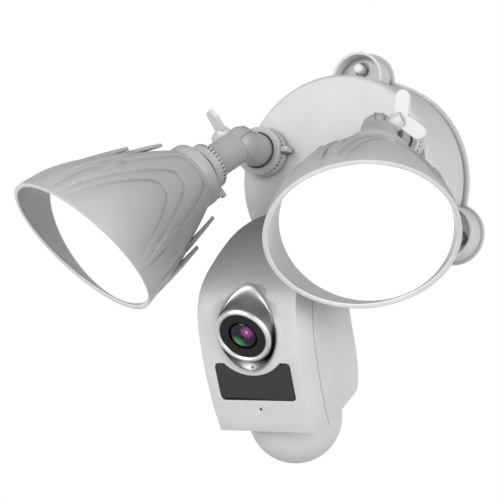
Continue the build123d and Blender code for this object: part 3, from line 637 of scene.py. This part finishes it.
def front_face(heights):
    """How far out the housing's flat front is at each height, felt beside the opening."""
    mesh = frame["nodes"]["camera_front_shell"].data
    tree = BVHTree.FromPolygons([v.co for v in mesh.vertices], [p.vertices for p in mesh.polygons])
    levels = np.linspace(-114.0, -56.0, 59)
    depths = []
    for level in levels:
        hit = tree.ray_cast(Vector((FELT_BESIDE * MM, FELT_FROM, level * MM)), Vector((0.0, 1.0, 0.0)))[0]
        depths.append(hit.y / MM)
    return np.interp(heights, levels, depths)


def clamped_spline(knots, leave, arrive, count):
    """Smooth curve through points with given directions at its two ends."""
    knots = np.array(knots)
    gaps = np.hypot(*np.diff(knots, axis=0).T)
    size = len(knots)
    system, wanted = np.eye(size), np.zeros((size, 2))
    wanted[0], wanted[-1] = leave, arrive
    for i in range(1, size - 1):
        before, after = gaps[i - 1], gaps[i]
        system[i, i - 1:i + 2] = after, 2 * (before + after), before
        steps = after * (knots[i] - knots[i - 1]) / before + before * (knots[i + 1] - knots[i]) / after
        wanted[i] = 3 * steps
    slopes = np.linalg.solve(system, wanted)
    curve = []
    for i, gap in enumerate(gaps):
        u = np.linspace(0.0, 1.0, count, endpoint=False)[:, None]
        curve.append((2 * u ** 3 - 3 * u ** 2 + 1) * knots[i] + (u ** 3 - 2 * u ** 2 + u) * gap * slopes[i]
                     + (3 * u ** 2 - 2 * u ** 3) * knots[i + 1] + (u ** 3 - u ** 2) * gap * slopes[i + 1])
    return np.concatenate(curve)


def eye_ring(inset, proud):
    """Points of the egg-shaped outline, standing out of the housing's front."""
    half, top, bottom = EYE_HALF - inset, EYE_TOP - inset, EYE_BOTTOM + inset
    knots = [(0, top), (half * 0.62, -73.6), (half, -87.0), (half * 0.86, -99.0), (0, bottom)]
    right = clamped_spline(knots, (1, 0), (-1, 0), EYE_COLUMNS // 8)
    left = np.flipud(right) * (-1, 1)
    outline = np.concatenate([right, left[:1] * 0 + (0, bottom), left[:-1]])
    return np.stack([outline[:, 0], front_face(outline[:, 1]) - proud, outline[:, 1]], axis=1)


def bezel_ring(radius, lift):
    """Points of a circle about the lens's axis."""
    outline = eye_ring(0.0, 0.0)
    across, rise = outline[:, :1], (outline[:, 2:] - EYE_MIDDLE) * EYE_HALF / 21.0
    turn = np.arctan2(across, rise)
    centre = np.array(LENS_CENTRE) / MM + np.array(LENS_OUT) * lift
    return centre + radius * (np.cos(turn) * np.array(LENS_UP) + np.sin(turn) * np.array((1.0, 0.0, 0.0)))


def add_lens_surround():
    """Satin trim: a flush border, a fine lip round the egg, then one hollow sweep out to the lens ring."""
    outer, flush = eye_ring(0.0, -0.05), eye_ring(0.0, 0.08)
    spoke = (outer - (0.0, 0.0, EYE_MIDDLE)) * (1, 0, 1)
    reach = np.linalg.norm(spoke, axis=1)[:, None]
    outer += spoke / reach * np.where(spoke[:, 2:] > 0, BORDER_TOP, np.clip(BORDER_REACH - reach, 0.8, 4.0))
    outer[:, 1] = front_face(outer[:, 2]) - 0.05
    rings = [outer, flush, eye_ring(0.0, 0.5), eye_ring(0.15, 0.65), eye_ring(0.6, 0.65)]
    start, end = eye_ring(0.75, 0.15), bezel_ring(BEZEL_RADIUS - 0.1, -1.0)
    back = bezel_ring(BEZEL_RADIUS - 0.1, -1.0) - np.array(LENS_OUT) * 9.0
    bend = 0.55 * back + 0.45 * end
    bend[:, 1] = np.maximum(bend[:, 1], front_face(bend[:, 2]) + 0.4) * 0.75 + start[:, 1] * 0.25
    for share in np.linspace(0.0, 1.0, SWEEP_ROWS):
        rings.append((1 - share) ** 2 * start + 2 * share * (1 - share) * bend + share ** 2 * end)
    rings.append(bezel_ring(BEZEL_RADIUS - 1.2, -1.3))
    points = np.concatenate(rings) * MM
    faces = ring_faces(len(rings), EYE_COLUMNS)
    skin = BVHTree.FromPolygons([Vector(p) for p in points], faces)
    place, normal = skin.ray_cast(Vector((0.0, FELT_FROM, SOUND_HOLE * MM)), Vector((0.0, 1.0, 0.0)))[:2]
    up = normal.cross(Vector((1.0, 0.0, 0.0)))
    hole = []
    for radius, lift in HOLE_PROFILE:
        for turn in np.linspace(0.0, 2 * math.pi, HOLE_CORNERS, endpoint=False):
            spot = place - normal * lift * MM * (1 if normal.y > 0 else -1)
            hole.append(spot + (Vector((1, 0, 0)) * math.cos(turn) + up * math.sin(turn)) * radius * MM)
    first = len(points)
    points = np.concatenate([points, np.array(hole)])
    rim = [tuple(first + i for i in face) for face in ring_faces(len(HOLE_PROFILE), HOLE_CORNERS)]
    bottom = tuple(range(len(points) - HOLE_CORNERS, len(points)))
    surround = add_mesh("lens_surround_skin", points, faces + rim + [bottom])
    dress(surround, "satin_trim")
    surround.data.materials.append(MATERIALS["housing_plastic"])
    surround.data.materials.append(MATERIALS["barrel_black"])
    for face in surround.data.polygons[:EYE_COLUMNS]:
        face.material_index = 1
    # the sound hole's shallow bottom is black: painted shade in place of the hole's depth
    surround.data.polygons[len(faces) + len(rim)].material_index = 2
    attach(surround, "camera_head")
    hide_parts("lens_surround")


add_lens_surround()

# --- studio ---------------------------------------------------------------------------------

FLOOR_REACH = 0.9
FLOOR_DROP = 0.32
CAMERA_PLACE = Vector((0.2874, -0.6825, -0.1033))
CAMERA_FORWARD = Vector((-0.4721, 0.8771, 0.0882))
CAMERA_RIGHT = Vector((0.8807, 0.4736, 0.0047))
FOCAL_LENGTH = 90.0


def add_camera():
    """Camera at the photograph's viewing angle."""
    data = bpy.data.cameras.new("camera")
    data.lens = FOCAL_LENGTH
    data.sensor_width = 36.0
    camera = bpy.data.objects.new("camera", data)
    bpy.context.collection.objects.link(camera)
    back = -CAMERA_FORWARD.normalized()
    right = (CAMERA_RIGHT - back * CAMERA_RIGHT.dot(back)).normalized()
    up = back.cross(right)
    for row in range(3):
        for column, axis in enumerate((right, up, back)):
            camera.matrix_world[row][column] = axis[row]
        camera.matrix_world[row][3] = CAMERA_PLACE[row]
    bpy.context.scene.camera = camera


def add_area_light(name, place, target, size, power):
    data = bpy.data.lights.new(name, "AREA")
    data.shape = "DISK"
    data.size = size
    data.energy = power
    light = bpy.data.objects.new(name, data)
    light.location = place
    light.rotation_euler = (Vector(target) - Vector(place)).to_track_quat("-Z", "Y").to_euler()
    bpy.context.collection.objects.link(light)


def add_world():
    """White background; the light it gives is dimmer from above."""
    world = bpy.data.worlds.new("studio")
    world.use_nodes = True
    bpy.context.scene.world = world
    tree = world.node_tree
    tree.nodes.clear()
    place = tree.nodes.new("ShaderNodeTexCoord")
    parts = tree.nodes.new("ShaderNodeSeparateXYZ")
    height = tree.nodes.new("ShaderNodeMapRange")
    height.inputs["From Min"].default_value = -1.0
    ramp = tree.nodes.new("ShaderNodeValToRGB")
    ramp.color_ramp.elements[0].position = 0.40
    ramp.color_ramp.elements[0].color = (0.95, 0.95, 0.96, 1)
    ramp.color_ramp.elements[1].position = 0.75
    ramp.color_ramp.elements[1].color = (0.34, 0.34, 0.345, 1)
    lit = tree.nodes.new("ShaderNodeBackground")
    seen = tree.nodes.new("ShaderNodeBackground")
    seen.inputs["Color"].default_value = (1, 1, 1, 1)
    path = tree.nodes.new("ShaderNodeLightPath")
    mix = tree.nodes.new("ShaderNodeMixShader")
    output = tree.nodes.new("ShaderNodeOutputWorld")
    tree.links.new(place.outputs["Generated"], parts.inputs["Vector"])
    tree.links.new(parts.outputs["Z"], height.inputs["Value"])
    tree.links.new(height.outputs["Result"], ramp.inputs["Fac"])
    tree.links.new(ramp.outputs["Color"], lit.inputs["Color"])
    tree.links.new(path.outputs["Is Camera Ray"], mix.inputs["Fac"])
    tree.links.new(lit.outputs["Background"], mix.inputs[1])
    tree.links.new(seen.outputs["Background"], mix.inputs[2])
    tree.links.new(mix.outputs["Shader"], output.inputs["Surface"])


def add_floor():
    """Pale floor well below the object."""
    level = cad_box[0][2] - FLOOR_DROP
    corners = [(x * FLOOR_REACH, y * FLOOR_REACH, level) for x, y in ((-1, -1), (1, -1), (1, 1), (-1, 1))]
    floor = add_mesh("floor", corners, [(0, 1, 2, 3)])
    floor.data.materials.append(moulded("floor_paint", (0.86, 0.86, 0.86), rough=(0.7, 0.8)))


add_camera()
add_world()
add_floor()
add_area_light("key", (-0.35, -1.3, 0.35), (0, -0.08, -0.03), 0.9, 9.0)
add_area_light("fill", (1.2, -0.7, 0.25), (0, -0.08, -0.05), 0.9, 10.0)
bpy.context.scene.view_settings.view_transform = "Standard"
